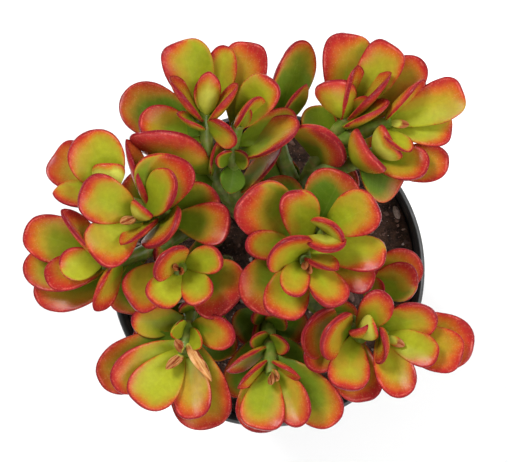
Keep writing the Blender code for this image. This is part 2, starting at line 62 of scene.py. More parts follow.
# Each shoot: its stem's centre line, from where it leaves its parent to its tip, then its leaves.
# Each leaf: depth of its root below the shoot's tip, where its own tip is, width, roll,
# then its look: ripe (0 pale, 1 dark green, below 0 dried), blush (how far in the red comes),
# lean (above 0 the red comes further in on its right side, below 0 on its left).
shoots = {
    "backLeft": ([(-10.5, 21.5, 97), (-18, 32, 111), (-20.5, 43, 125), (-20.5, 52.5, 132)], [
        (0, (-19, 65, 145), 8, 170, 0, 0.35, 0), (0, (-22, 63, 137), 7, 10, 0.1, 0.5, 0),
        (2, (-32, 63, 144), 11, 72, 0.3, 1, 0), (2, (-10, 60.5, 145), 10, -72, 0.3, 1, 0),
        (3, (-29.2, 75.2, 139), 16.5, 5, 0.36, 0.45, -0.9),
        (6, (-13.8, 74, 137), 10.5, -5, 0.3, 0.4, 0), (3, (-10.5, 44, 140), 11, 50, 0.4, 0.6, -0.6),
        (4, (-29.8, 51.5, 141), 8, 70, 0.6, 0.5, 0), (6, (-48.6, 58, 128), 18, 0, 0.85, 0.32, 0),
        (9, (-42.5, 50, 134), 14, 20, 0.55, 0.55, 0), (25, (-44, 45.2, 139.5), 19, 120, 0.4, 1, 0),
        (18, (-30, 61, 118), 12, 0, 0.9, 0.3, 0), (27, (-17, 43, 129), 8, 60, 0.35, 0.6, 0),
        (31, (-30, 38, 112), 14, 0, 0.9, 0.15, 0), (26, (-26, 30, 117), 11, 0, 0.7, 0.2, 0)]),
    "backMiddle": ([(-10.5, 21.5, 97), (-11.5, 31, 113), (-12, 41, 125), (-10, 49, 132)], [
        (0, (-6, 53, 141), 5, 0, 0.1, 0.5, 0), (1, (-4, 56.5, 145), 11, 75, 0.4, 0.7, 0),
        (2, (0.5, 63, 142), 13, 0, 0.35, 0.4, 0.5), (4, (-6.5, 75.5, 134), 15, 0, 0.35, 0.85, 0.3),
        (12, (10, 48, 137), 15, -45, 0.5, 0.55, 0.6), (8, (9, 52, 130), 10, -10, 0.55, 0.3, 0),
        (33, (4.2, 41, 128), 9.5, -50, 0.55, 0.85, 0), (16, (-13, 26, 122), 9, -25, 0.95, 0, 0),
        (13, (-6.5, 37.5, 131), 7, 30, 0.55, 0.35, 0), (14, (-17, 38, 130), 7, -30, 0.6, 0.3, 0)]),
    "left": ([(-19, 13, 99), (-28, 17, 115), (-37, 18.5, 127), (-44.5, 18, 134)], [
        (0, (-40.5, 21.5, 143), 8.5, 180, 0, 0.3, 0), (0, (-48, 16, 142), 5, 0, -0.25, 0.5, 0),
        (3, (-60.5, 27, 145), 16, 0, 0.3, 0.55, -0.3),
        (3, (-57, 5.6, 143), 16.5, 0, 0.28, 0.5, -0.5),
        (4, (-30.5, 32, 146), 13, -30, 0.38, 0.5, 0.7), (9, (-47.5, 9, 146), 9, 65, 0.3, 0.8, 0),
        (8, (-32, 38.2, 140), 20, 5, 0.55, 0.55, 0.8),
        (8, (-46.5, 43.5, 138), 12, 75, 0.4, 1, -0.4),
        (12, (-33.3, 11, 144), 17.5, 36, 0.35, 0.7, 0), (18, (-17, 26, 128), 15, 0, 0.6, 0.4, 0),
        (14, (-12.8, 15.4, 131), 14.5, 0, 0.55, 0.7, 0), (20, (-48, 31, 118), 14, 0, 0.8, 0.4, 0)]),
    "leftBack": ([(-34, 18, 122), (-42, 21, 129), (-49, 24, 134), (-53, 26, 136)], [
        (0, (-52, 35.5, 141.5), 11, 180, 0, 0.12, 0),
        (2, (-70.3, 25.8, 139), 9.5, 20, 0.2, 0.6, -0.8),
        (2, (-59.2, 45.8, 141), 18.5, 0, 0.3, 0.4, -0.3),
        (4, (-70.6, 38.8, 132), 16, 0, 0.15, 0.5, 0)]),
    "leftFront": ([(-25, 16, 110), (-36, 9, 119), (-47, 4.5, 128), (-55, 3, 132)], [
        (0, (-68, 3, 141), 11, 0, 0.2, 0.3, 0.9), (2, (-67, 20.2, 144), 12, 62, 0.4, 1, -0.4),
        (4, (-80, 13.9, 134), 16, 0, 0.45, 0.5, 0.3), (3, (-73, -2, 136), 12, 0, 0.55, 0.8, 0),
        (7, (-81, 0.6, 128.6), 16, 0, 0.5, 0.5, -0.3),
        (10, (-77.7, -8.6, 123.2), 17, 0, 0.6, 0.5, -0.5),
        (6, (-57, -12, 138), 12, -60, 0.35, 0.7, 0), (12, (-47, -14, 124), 13, 0, 0.75, 0.3, 0),
        (18, (-61, -4, 117), 13, 0, 0.85, 0.3, 0), (24, (-36.5, 1.5, 125), 8.5, -40, 0.5, 0.9, 0)]),
    "middleLeft": ([(-15, 2, 97), (-22, 4, 112), (-27, 3, 124), (-29.5, 1, 134)], [
        (0, (-31, 2, 140), 3.5, 0, -0.25, 0.5, 0), (0, (-28, 0, 140), 3.5, 0, -0.25, 0.5, 0),
        (3, (-34.7, 5, 148), 14.5, -15, 0.4, 0.8, 0), (3, (-15.5, 5.5, 141), 10, 10, 0.35, 0.35, 0),
        (4, (-21, -9.5, 140), 11, 0, 0.3, 0.4, 0), (4, (-37, -10, 141), 12, 0, 0.2, 0.22, 0),
        (8, (-46, -9, 134), 15, 0, 0.4, 0.5, 0), (10, (-11.5, -11, 131), 21, 0, 0.7, 0.8, 0),
        (26, (-26, 8.8, 105.5), 10, 0, 0.88, 0.15, 0)]),
    "frontLeft": ([(-15, 2, 97), (-24, -8, 112), (-27, -19, 122), (-28, -28, 127)], [
        (0, (-30.6, -22, 136), 4.5, 0, -0.2, 0.3, 0), (0, (-33.5, -31.5, 136), 5, 0, -0.2, 0.3, 0),
        (2, (-42.8, -42.8, 136), 16.5, 0, 0.22, 0.3, -0.3),
        (4, (-18.6, -35.5, 137.5), 9, 66, -0.22, 0.5, 0),
        (4, (-24.6, -48, 134), 13, 0, 0.35, 0.65, -0.4),
        (4, (-51, -37, 134), 14.5, 0, 0.32, 0.6, 0.3),
        (7, (-56, -36.4, 127), 17.5, 0, 0.8, 0.52, 0.3),
        (7, (-19.3, -52, 126), 20, 0, 0.62, 0.6, 0.3),
        (9, (-11, -20.5, 134), 12, 15, 0.5, 0.65, -0.5),
        (12, (-45.5, -16.2, 127), 11, 0, 0.42, 0.6, 0.3),
        (20, (-44, -27, 117), 14, 0, 0.85, 0.3, 0), (24, (-14, -30, 108), 13, 0, 0.85, 0.1, 0),
        (8, (-22, -24.5, 133), 6.5, 30, 0.3, 0.1, 0), (9, (-32, -19.8, 132), 6.5, -30, 0.3, 0.1, 0),
        (15, (-26.8, -10, 126.5), 8, 0, 0.6, 0.45, 0)]),
    "front": ([(0.8, -11.5, 99), (0, -20, 112), (0.5, -28, 121), (1, -34, 126)], [
        (0, (1.1, -36.6, 134), 4.5, 20, -0.2, 0.7, 0), (0, (3.4, -35, 133), 4, 35, -0.12, 0.7, 0),
        (2, (-3, -51.5, 133), 15, 0, 0.42, 0.45, 0),
        (3, (11.5, -50, 133), 12.5, 10, 0.38, 0.62, -0.5),
        (3, (10.6, -34.6, 134), 8, 66, 0.5, 1, 0), (4, (-10.2, -37.8, 134), 7.5, -62, 0.5, 1, 0),
        (5, (-4, -53, 127), 16.5, 0, 0.5, 0.7, 0), (7, (22.9, -50, 125), 16, 0, 0.62, 0.35, 0),
        (16, (12, -37, 113), 13, 0, 0.85, 0.3, 0), (9, (-14, -32.5, 130), 9, -60, 0.6, 1, 0),
        (30, (-5, -27, 117), 9, -40, 0.55, 0.7, 0), (27, (-11, -22, 110), 14, 0, 0.9, 0.15, 0),
        (25, (13, -21, 109), 13, 0, 0.85, 0.35, 0), (18, (-13, -42, 113), 13, 0, 0.8, 0.25, 0),
        (12, (6.8, -24.5, 127.5), 7.5, 30, 0.5, 0.45, 0),
        (13, (-6, -22.5, 127), 7, -30, 0.55, 0.45, 0), (20, (5, -14.8, 121), 8, 20, 0.75, 0.35, 0),
        (22, (-4.5, -13.5, 120), 7.5, -20, 0.75, 0.35, 0)]),
    "right": ([(11.5, -7, 99), (18, -13, 114), (26, -18, 124), (31, -21.5, 131)], [
        (0, (34.5, -16.8, 142), 8.5, 160, 0, 0.1, 0), (0, (30.2, -17.5, 141.5), 8, -160, 0.1, 1, 0),
        (3, (25, -38, 138), 14, 0, 0.3, 0.66, 0), (2, (38, -6.5, 140), 11, 0, 0.35, 0.8, 0),
        (5, (17.5, -20.5, 146), 17, -31, 0.45, 0.8, 0),
        (6, (31.5, -42.5, 131), 16, 0, 0.4, 0.75, 0), (12, (11, -20.5, 139), 18, -38, 0.6, 0.85, 0),
        (14, (15, -33, 128), 12, 0, 0.5, 0.8, 0), (20, (30, -31, 114), 13, 0, 0.8, 0.4, 0),
        (13, (26, -9.5, 119.5), 10, 0, 0.6, 0.5, 0)]),
    "rightFront": ([(20, -14.5, 116), (31, -18, 124), (39, -21.5, 129)], [
        (0, (44.5, -24, 134), 3.2, 0, -0.1, 0.5, 0), (1, (37.5, -26.5, 143), 12, 80, 0.5, 1, 0),
        (2, (44.6, -40.4, 137), 13, 0, 0.25, 0.95, 0), (2, (55, -27.5, 137), 11, 0, 0.25, 0.3, 0),
        (3, (63.6, -27.4, 133), 15, 0, 0.35, 0.62, 0.5),
        (4, (54.5, -13.5, 138), 14, 20, 0.4, 0.5, -0.5),
        (6, (68, -24.3, 127), 19, 0, 0.6, 0.6, -0.3)]),
    "rightLow": ([(11.5, -7, 99), (23, -5, 110), (34, -3, 117)], [
        (0, (49.8, -2.8, 123), 13.5, 0, 0.6, 0.62, -0.8),
        (2, (51.8, 2.4, 118), 14.5, 0, 0.45, 0.7, -0.3), (1, (38, -8, 124), 8, 0, 0.4, 0.6, 0),
        (4, (36, 5, 124), 8, 0, 0.4, 0.6, 0)]),
    "centre": ([(7, 10.8, 102), (9, 10, 118), (11, 7, 131), (12, 4, 141)], [
        (0, (11.6, 1.2, 146), 3.8, 0, -0.2, 0.6, 0), (0, (13.6, 0, 145), 3.8, 0, -0.2, 0.6, 0),
        (3, (2.5, 9, 153), 17, -32, 0.35, 0.5, 0), (6, (21.8, 1, 150), 9.5, -62, 0.4, 1, 0),
        (4, (22.2, -10.6, 146), 13, -32, 0.3, 0.6, -0.3), (4, (7, -7, 149), 10, 0, 0.25, 0.5, 0),
        (6, (9, 26.5, 147), 13, 0, 0.4, 0.6, -0.7), (8, (3.5, -14.5, 142), 15, 0, 0.4, 0.5, 0),
        (9, (38, 5.8, 141), 12.2, 0, 0.3, 0.45, 0.5),
        (11, (-6.5, -11.5, 137), 20, 0, 0.72, 0.7, -0.6),
        (12, (-7.5, 9.5, 141), 10, 0, 0.4, 0.7, 0), (12, (-7, 26, 143), 20, 0, 0.6, 0.85, -0.8),
        (13, (34, -4, 137), 12, 0, 0.4, 0.7, 0), (23, (28, -3, 123), 14, 0, 0.8, 0.4, 0),
        (25, (2, 32, 116), 15, 0, 0.85, 0.2, 0)]),
    "centreRight": ([(8.5, 10.5, 114), (13, 13, 128), (19.3, 12.8, 140)], [
        (0, (20.6, 15.4, 150.5), 13, 0, 0.05, 0.45, 0),
        (0, (18.3, 7.4, 150), 13.5, 0, 0.02, 0.55, 0),
        (3, (34.5, 22.5, 147), 15.5, 0, 0.36, 0.5, 0.3),
        (8, (24, 33, 137), 19, 0, 0.88, 0.45, 0.5)]),
    "backRight": ([(11, 24.5, 99), (15, 35, 115), (22, 46, 127), (27, 52, 132)], [
        (0, (32, 57, 142), 5, 0, 0.2, 0.9, 0), (1, (18.6, 62, 143), 13.5, 150, 0.2, 0.5, -0.3),
        (2, (40, 74, 141), 14, 0, 0.22, 0.4, 0), (2, (39.5, 64.5, 145), 12, -75, 0.4, 0.95, 0.3),
        (3, (28.5, 67, 143), 11, 70, 0.45, 0.95, 0.3),
        (4, (38.5, 54.5, 144), 12, -70, 0.4, 0.95, 0),
        (5, (26.3, 77.8, 138), 16.5, 0, 0.5, 0.62, -0.4), (5, (51, 69, 133), 15, 0, 0.45, 0.8, 0),
        (22, (19.5, 45.5, 136), 20, -16, 0.55, 0.8, 0.5), (27, (34, 50, 113), 14, 0, 0.8, 0.4, 0),
        (17, (16, 55.5, 124), 12, 0, 0.62, 0.1, 0), (45, (30, 33, 112), 15, 0, 0.85, 0.4, 0)]),
    "rightBack": ([(19, 41, 122), (28, 45, 130), (36, 48, 134), (40, 49.5, 136)], [
        (0, (45.5, 48, 141), 3, 0, -0.1, 0.5, 0), (1, (50, 62.5, 145), 11, 75, 0.4, 0.95, 0.3),
        (2, (62.8, 58.8, 142.5), 14, 0, 0.22, 0.5, -0.4),
        (2, (59.8, 46.6, 137), 12.5, 0, 0.28, 0.4, 0.3), (3, (45, 39, 145), 10, -55, 0.2, 0.3, 0)]),
    "rightSide": ([(15, 34, 114), (25, 35, 125), (32, 38, 131), (36, 40, 133)], [
        (0, (39.8, 42.7, 144), 13, 180, 0.02, 0.25, 0),
        (3, (52, 34.5, 138), 13, -20, 0.45, 0.75, 0.3),
        (8, (32.5, 39.3, 145), 17, 180, 0.35, 0.55, 0),
        (4, (59.2, 35.8, 132), 13, 0, 0.62, 0.5, 0.3), (6, (44, 28.5, 125), 17, 0, 0.85, 0.35, 0)]),
    "back": ([(11, 24.5, 99), (5.2, 38, 112), (2.4, 49, 120)], [
        (0, (11.6, 76.5, 130), 15, 32, 0.7, 0.4, -0.7), (1, (12.5, 62, 132), 8, 60, 0.6, 0.5, -0.3),
        (30, (0, 36, 112), 15, 0, 0.95, 0.1, 0)]),
}

stems = {
    "back_left": {"foot": (-9, 20), "top": (-10.5, 21.5, 97), "shoots": ("backLeft", "backMiddle")},
    "left": {"foot": (-19, 11), "top": (-19, 13, 99), "shoots": ("left", "leftBack", "leftFront")},
    "middle_left": {"foot": (-14, -1), "top": (-15, 2, 97), "shoots": ("middleLeft", "frontLeft")},
    "front": {"foot": (0, -10), "top": (0.8, -11.5, 99), "shoots": ("front",)},
    "right": {"foot": (12, -5), "top": (11.5, -7, 99),
              "shoots": ("right", "rightFront", "rightLow")},
    "centre": {"foot": (6, 9), "top": (7, 10.8, 102), "shoots": ("centre", "centreRight")},
    "back_right": {"foot": (10, 22), "top": (11, 24.5, 99),
                   "shoots": ("backRight", "rightBack", "rightSide", "back")},
}


def smoothLine(points, step):
    # points about a step apart on a Catmull-Rom curve through the given ones
    points = [Vector(p) for p in points]
    ends = [2 * points[0] - points[1], *points, 2 * points[-1] - points[-2]]
    line = []
    for a, b, c, d in zip(ends, ends[1:], ends[2:], ends[3:]):
        count = max(1, round((c - b).length / step))
        for i in range(count):
            t = i / count
            point = 2 * b + (c - a) * t
            point += (2 * a - 5 * b + 4 * c - d) * t ** 2
            point += (3 * b - a - 3 * c + d) * t ** 3
            line.append(point / 2)
    return [*line, points[-1]]


def belowTip(line, depth):
    # the point this far back along the line from its tip
    for low, high in zip(line[-2::-1], line[:0:-1]):
        length = (high - low).length
        if depth <= length or low is line[0]:
            return high.lerp(low, depth / length)
        depth -= length


def addObject(name, data):
    made = bpy.data.objects.new(name, data)
    bpy.context.scene.collection.objects.link(made)
    return made


def sign(operation, turned=False):
    # what one arithmetic sign does to a wire; turned is for a plain number on its left
    if turned:
        return lambda wire, other: mathNode(wire.tree, operation, other, wire)
    return lambda wire, other: mathNode(wire.tree, operation, wire, other)


class Wire:
    # an output socket in a node tree: arithmetic on it adds the Math nodes that do it
    __add__, __sub__, __rsub__ = sign("ADD"), sign("SUBTRACT"), sign("SUBTRACT", turned=True)
    __truediv__, __rtruediv__ = sign("DIVIDE"), sign("DIVIDE", turned=True)
    __pow__, __rpow__ = sign("POWER"), sign("POWER", turned=True)

    def __init__(self, tree, socket):
        self.tree, self.socket = tree, socket
        self.isVector = socket.type in ("VECTOR", "RGBA")

    def calc(self, operation, *others):
        return mathNode(self.tree, operation, self, *others)

    def ramp(self, low, high, toLow=0.0, toHigh=1.0):
        # a smooth step of the value between low and high
        inputs = {"Value": self, "From Min": low, "From Max": high,
                  "To Min": toLow, "To Max": toHigh}
        return addNode(self.tree, "ShaderNodeMapRange", inputs, interpolation_type="SMOOTHSTEP")

    def into(self, kind, inputs=None, **settings):
        # passes the geometry through a Geometry Nodes node
        return addNode(self.tree, "GeometryNode" + kind, {0: self} | (inputs or {}), **settings)

    def __mul__(self, other):
        if self.isVector:
            scale = {0: self, "Scale": other}
            return addNode(self.tree, "ShaderNodeVectorMath", scale, operation="SCALE")
        return self.calc("MULTIPLY", other)

    def __abs__(self):
        return self.calc("ABSOLUTE")


def mathNode(tree, operation, *values):
    isVector = any(isinstance(v, Wire) and v.isVector for v in values)
    kind = "ShaderNodeVectorMath" if isVector else "ShaderNodeMath"
    return addNode(tree, kind, dict(enumerate(values)), operation=operation)


def pick(sockets, key):
    # a socket by its number, name or identifier
    if isinstance(key, int):
        return sockets[key]
    shown = [s for s in sockets if s.enabled and s.name == key]
    return shown[0] if shown else next(s for s in sockets if s.identifier == key)


def feed(node, inputs):
    # links each wire to its input, and sets each plain value there
    for key, value in inputs.items():
        socket = pick(node.inputs, key)
        if isinstance(value, Wire):
            value.tree.links.new(value.socket, socket)
        else:
            socket.default_value = value


def addNode(tree, kind, inputs=None, output=0, **settings):
    # adds a node and returns the wire that leaves it at the given output
    made = tree.nodes.new(kind)
    column, row = len(tree.nodes) % 14, len(tree.nodes) // 14
    made.location = (200 * column, -220 * row)
    for key, value in settings.items():
        setattr(made, key, value)
    feed(made, inputs or {})
    return Wire(tree, pick(made.outputs, output)) if made.outputs else None


def allOutputs(wire):
    # every output of the node that the wire leaves, by name
    return {socket.name: Wire(wire.tree, socket) for socket in wire.socket.node.outputs}


def splitVector(vector):
    return list(allOutputs(addNode(vector.tree, "ShaderNodeSeparateXYZ", {0: vector})).values())


def openGroup(name, kind, inputs, outputs):
    # a node group whose inputs and outputs are named here with their kinds
    tree = bpy.data.node_groups.new(name, kind)
    for side, sockets in ("INPUT", inputs), ("OUTPUT", outputs):
        for label, valueKind in sockets.items():
            tree.interface.new_socket(name=label, in_out=side, socket_type="NodeSocket" + valueKind)
    return tree, SimpleNamespace(**allOutputs(addNode(tree, "NodeGroupInput")))


def openTree(name, form, plain, lengths, **materials):
    # a Geometry Nodes tree whose inputs are settings of its form, with lengths in metres
    values = {k: form[k] for k in plain} | {k: form[k] * mm for k in lengths} | materials
    kinds = {int: "Int", float: "Float"}
    inputs = {label: kinds.get(type(value), "Material") for label, value in values.items()}
    shape = {"geometry": "Geometry"}
    return *openGroup(name, "GeometryNodeTree", shape | inputs, shape), values


def bell(value, tightness):
    # 1 where the value is 0, falling away on both sides
    return 2.718 ** (value * value * -tightness)


def closeTree(geometry, material):
    whole = geometry.into("RealizeInstances").into("SetShadeSmooth")
    whole = whole.into("SetMaterial", {"Material": material})
    addNode(geometry.tree, "NodeGroupOutput", {0: whole})


def namedValues(tree, *names, kind="FLOAT"):
    read = "GeometryNodeInputNamedAttribute"
    return [addNode(tree, read, {"Name": name}, data_type=kind) for name in names]


def storeValue(geometry, name, value, domain="POINT"):
    inputs = {"Name": name, "Value": value}
    return geometry.into("StoreNamedAttribute", inputs, data_type="FLOAT", domain=domain)


def grow(guide, tree, values, name):
    # runs the tree on the guide object and returns the result as a plain mesh object
    modifier = guide.modifiers.new("grow", "NODES")
    modifier.node_group = tree
    for item in tree.interface.items_tree:
        if item.in_out == "INPUT" and item.name in values:
            modifier[item.identifier] = values[item.name]
    graph = bpy.context.evaluated_depsgraph_get()
    mesh = bpy.data.meshes.new_from_object(guide.evaluated_get(graph), depsgraph=graph)
    guide.modifiers.remove(modifier)
    bpy.data.objects.remove(guide)
    mesh.name = name
    return addObject(name, mesh)


leafForm = {
    "rootPower": 0.9, "tipPower": 0.46,  # outline along the leaf
    "plumpRoot": 0.48, "plumpTip": 0.42,  # thickness along the leaf
    "slimWidth": 10.0, "slimPoint": 0.2, "edgePoint": 0.22,  # slim and edge-on leaves are pointed
    "thickShare": 0.165, "thickLeast": 1.0, "upperShare": 0.34, "rimPower": 0.5,
    "cup": 0.155, "arch": 0.07, "twist": 0.1, "sway": 0.045, "pointSpread": 0.12,
    "groove": 0.16, "grooveTightness": 26.0, "ripple": 0.3, "rippleScale": 150.0,
    "sink": 1.5, "stagger": 0.09,  # how far each root sits inside its stem
    "driedBelow": -0.15, "driedShare": 0.75, "driedRoll": 40,  # dried to a narrow sliver
    "sides": 36, "rings": 30,
    "blunt": -0.15, "bluntLeaves": {
        "left": (2, 3, 6, 10), "leftBack": (3,), "leftFront": (7,), "middleLeft": (3, 4, 5, 6, 7),
        "frontLeft": (2, 4), "front": (2,), "right": (2,), "rightFront": (3, 4),
        "centre": (4, 6, 7, 8, 11, 12), "centreRight": (2,), "backRight": (2, 6, 8),
        "rightBack": (2, 3), "backLeft": (4,), "backMiddle": (2, 3),
    },
}


def bumpCurve(along, rootPower, tipPower):
    # 0 at both ends of the leaf and 1 at its highest
    def rise(share):
        return share ** rootPower * (1.0 - share) ** tipPower

    return rise(along) / rise(rootPower / (tipPower + rootPower))


def leafTree(material):
    form = SimpleNamespace(**leafForm)
    plain = ("sides", "rings", "thickShare", "upperShare", "cup", "arch", "rimPower",
             "twist", "sway")
    lengths = ("thickLeast", "groove", "ripple")
    tree, given, values = openTree("fleshyLeaf", leafForm, plain, lengths, material=material)
    ball = addNode(tree, "GeometryNodeMeshUVSphere",
                   {"Segments": given.sides, "Rings": given.rings, "Radius": 1.0})
    x, y, z = splitVector(addNode(tree, "GeometryNodeInputPosition"))
    radius = (x * x + y * y).calc("SQRT")
    along = addNode(tree, "ShaderNodeMath", {0: z + 1.0, 1: 0.5},
                    operation="MULTIPLY", use_clamp=True)
    ball = storeValue(ball, "leafAlongShare", along)
    ball = storeValue(ball, "leafSide", x / radius)
    ball = storeValue(ball, "leafUpper", y / radius)
    leaves = given.geometry.into("InstanceOnPoints", {"Instance": ball}).into("RealizeInstances")

    share, turn, upper = namedValues(tree, "leafAlongShare", "leafSide", "leafUpper")
    length, width, whim, pointed = namedValues(tree, "leafLength", "leafWidth", "whim", "pointed")
    whim = whim - 0.5
    point = whim * form.pointSpread + pointed
    outline = bumpCurve(share, form.rootPower, point + form.tipPower)
    plump = bumpCurve(share, form.plumpRoot, point + form.plumpTip)
    side = turn * outline
    thick = width * given.thickShare + given.thickLeast
    isUpper = upper.calc("GREATER_THAN", 0.0)
    part = addNode(tree, "ShaderNodeMix",
                   {"Factor": isUpper, "A": 1.0 - given.upperShare, "B": given.upperShare})
    # the margins are thick and rounded, and curl up a little
    rise = abs(upper) ** given.rimPower * upper.calc("SIGN") * plump * thick * part
    arc = share * (1.0 - share)
    cup = side * side * width * given.cup
    arch = arc * length * given.arch
    lift = cup - arch + whim * side * share * width * given.twist
    # a shallow groove along the upper face, and the whole blade bends a little to one side
    groove = bell(side, form.grooveTightness) * arc * given.groove * 4.0
    bend = whim * 2.0 * given.sway * width * arc * 4.0

    root, ahead, across, face = namedValues(
        tree, "leafRoot", "leafAhead", "leafAcross", "leafFace", kind="FLOAT_VECTOR")
    place = root + ahead * (length * share) + across * (side * 0.5 * width + bend)
    leaves = leaves.into("SetPosition", {"Position": place + face * (rise + lift - groove)})

    # how far each point of the skin is from the leaf's edge, in millimetres
    inward = (outline - abs(side)) * 0.5 * width
    plan = inward.calc("SMOOTH_MIN", (1.0 - share) * length, 2 * mm)
    leaves = storeValue(leaves, "edgeDistance", (plan * plan + rise * rise).calc("SQRT") * 1000.0)

    # slow waves keep the skin from looking turned
    wave = addNode(tree, "ShaderNodeTexNoise", {"Scale": form.rippleScale, "Detail": 1.0})
    push = (wave - 0.5) * given.ripple * 2.0
    leaves = leaves.into("SetPosition", {"Offset": addNode(tree, "GeometryNodeInputNormal") * push})
    closeTree(leaves, given.material)
    return tree, values


def bladeAxes(root, tip, roll):
    along = (tip - root).normalized()
    face = Vector((0, 0, 1)) - along.z * along
    face = Matrix.Rotation(math.radians(roll), 3, along) @ face.normalized()
    return along, face.cross(along), face


def leafSites(name, stem):
    # one point for each leaf, which carries where the leaf stands and how it looks
    form, rows = SimpleNamespace(**leafForm), []
    for shootName in stem["shoots"]:
        spine, leaves = shoots[shootName]
        line = smoothLine(spine, stemForm["step"])
        for i, (depth, tip, width, roll, ripe, blush, lean) in enumerate(leaves):
            root = belowTip(line, depth + form.sink + form.stagger * i)
            tip = Vector(tip)
            if ripe < form.driedBelow:
                width, roll = width * form.driedShare, roll + form.driedRoll
            ahead, across, face = bladeAxes(root, tip, roll)
            pointed = form.edgePoint * math.sin(math.radians(roll)) ** 2
            if width < form.slimWidth:
                pointed += form.slimPoint
            if i in form.bluntLeaves.get(shootName, ()):
                pointed += form.blunt
            whim = random.Random(f"{shootName}{i}").random()
            rows.append({
                "leafRoot": root * mm, "leafAhead": ahead, "leafAcross": across, "leafFace": face,
                "leafLength": (tip - root).length * mm, "leafWidth": width * mm, "pointed": pointed,
                "ripe": ripe, "blush": blush, "lean": lean, "whim": whim,
            })
    mesh = bpy.data.meshes.new(name)
    mesh.from_pydata([row["leafRoot"] for row in rows], [], [])
    for key, first in rows[0].items():
        isVector = isinstance(first, Vector)
        data = mesh.attributes.new(key, "FLOAT_VECTOR" if isVector else "FLOAT", "POINT").data
        flat = [v for row in rows for v in (row[key] if isVector else [row[key]])]
        data.foreach_set("vector" if isVector else "value", flat)
    return addObject(name + "_sites", mesh)


stemForm = {
    "buried": 14.0, "trunk": 3.6, "shoot": 3.1, "tip": 2.0,  # depth in the soil, and radii
    "step": 5.0, "sides": 20, "spacing": 0.8,
    "ringEvery": 5.2, "ringHeight": 0.16, "ringTightness": 160.0, "lump": 0.22, "lumpScale": 260.0,
}


def stemTree(material):
    form = SimpleNamespace(**stemForm)
    lengths = ("spacing", "ringEvery", "ringHeight", "lump")
    tree, given, values = openTree("ringedStem", stemForm, ("sides",), lengths, material=material)
    line = given.geometry.into("ResampleCurve", {"Length": given.spacing}, mode="LENGTH")
    along = addNode(tree, "GeometryNodeSplineParameter", output="Length")
    line = storeValue(line, "stemAlong", along)
    circle = {"Resolution": given.sides, "Radius": 1.0}
    circle = addNode(tree, "GeometryNodeCurvePrimitiveCircle", circle)
    radius = addNode(tree, "GeometryNodeInputRadius")
    tube = line.into("CurveToMesh", {"Profile Curve": circle, "Scale": radius, "Fill Caps": True})
    tube = tube.into("MergeByDistance", {"Distance": 0.005 * mm})
    # leaf scars: narrow rings at even steps, and slow lumps between them
    along, = namedValues(tree, "stemAlong")
    offCentre = (along / given.ringEvery).calc("FRACT") - 0.5
    ring = bell(offCentre, form.ringTightness)
    tube = storeValue(tube, "stemRing", ring)
    lump = addNode(tree, "ShaderNodeTexNoise", {"Scale": form.lumpScale, "Detail": 2.0})
    push = ring * given.ringHeight + (lump - 0.5) * given.lump * 2.0
    tube = tube.into("SetPosition", {"Offset": addNode(tree, "GeometryNodeInputNormal") * push})
    closeTree(tube, given.material)
    return tree, values


def stemLine(name, stem):
    # the trunk and its shoots as curves, each with its radius along it
    form = SimpleNamespace(**stemForm)
    x, y = stem["foot"]
    ground = soilHeight(x, y)
    rise = [Vector((x, y, ground - form.buried)), Vector((x, y, ground + 1))]
    rise += smoothLine([(x, y, ground + 3), stem["top"]], form.step)
    lines = [(rise, [form.trunk] * len(rise))]
    drop = form.tip - form.shoot
    for shootName in stem["shoots"]:
        line = smoothLine(shoots[shootName][0], form.step)
        steps = len(line) - 1
        lines.append((line, [form.shoot + drop * i / steps for i in range(steps + 1)]))
    curve = bpy.data.curves.new(name, "CURVE")
    curve.dimensions = "3D"
    for line, radii in lines:
        spline = curve.splines.new("POLY")
        spline.points.add(len(line) - 1)
        for point, place, radius in zip(spline.points, line, radii):
            point.co = (*(place * mm), 1)
            point.radius = radius * mm
    return addObject(name + "_line", curve)


potForm = {
    "height": 90.0, "rim": 55.0, "collar": 53.2, "collarLow": 78.0, "shoulder": 51.6, "foot": 38.5,
    "wall": 1.0, "channelIn": 15.0, "channelOut": 32.0, "channelRise": 2.0,
    "drain": 3.6, "drains": 6, "drainSides": 40, "drainCut": 12.0,
    "turns": 160, "round": 0.35, "sharpAbove": 50,
}


def roundedProfile(points, radius):
    # each corner becomes a short arc of four points
    smooth = [points[0]]
    for before, corner, after in zip(points, points[1:], points[2:]):
        a, b, c = Vector(before), Vector(corner), Vector(after)
        reach = min(radius, (a - b).length * 0.45, (c - b).length * 0.45)
        start, end = b + (a - b).normalized() * reach, b + (c - b).normalized() * reach
        for i in range(4):
            t = i / 3
            smooth.append(tuple(start * (1 - t) ** 2 + b * 2 * t * (1 - t) + end * t ** 2))
    return [*smooth, points[-1]]


def turnProfile(name, profile, turns):
    # the profile's points (radius, height), turned round the pot's axis
    mesh = bpy.data.meshes.new(name)
    edges = [(i, i + 1) for i in range(len(profile) - 1)]
    mesh.from_pydata([(r * mm, 0, z * mm) for r, z in profile], edges, [])
    made = addObject(name, mesh)
    screw = made.modifiers.new("turn", "SCREW")
    screw.axis, screw.angle = "Z", math.tau
    screw.steps = screw.render_steps = turns
    screw.use_merge_vertices, screw.merge_threshold = True, 0.00001
    screw.use_normal_calculate = True
    applyAll(made)
    return made


def applyAll(made):
    # the object becomes a plain mesh, with its seams closed and its faces outward
    graph = bpy.context.evaluated_depsgraph_get()
    mesh = bpy.data.meshes.new_from_object(made.evaluated_get(graph), depsgraph=graph)
    made.modifiers.clear()
    made.data = mesh
    bm = bmesh.new()
    bm.from_mesh(mesh)
    bmesh.ops.remove_doubles(bm, verts=bm.verts, dist=1e-6)
    bmesh.ops.recalc_face_normals(bm, faces=bm.faces)
    bm.to_mesh(mesh)
    bm.free()


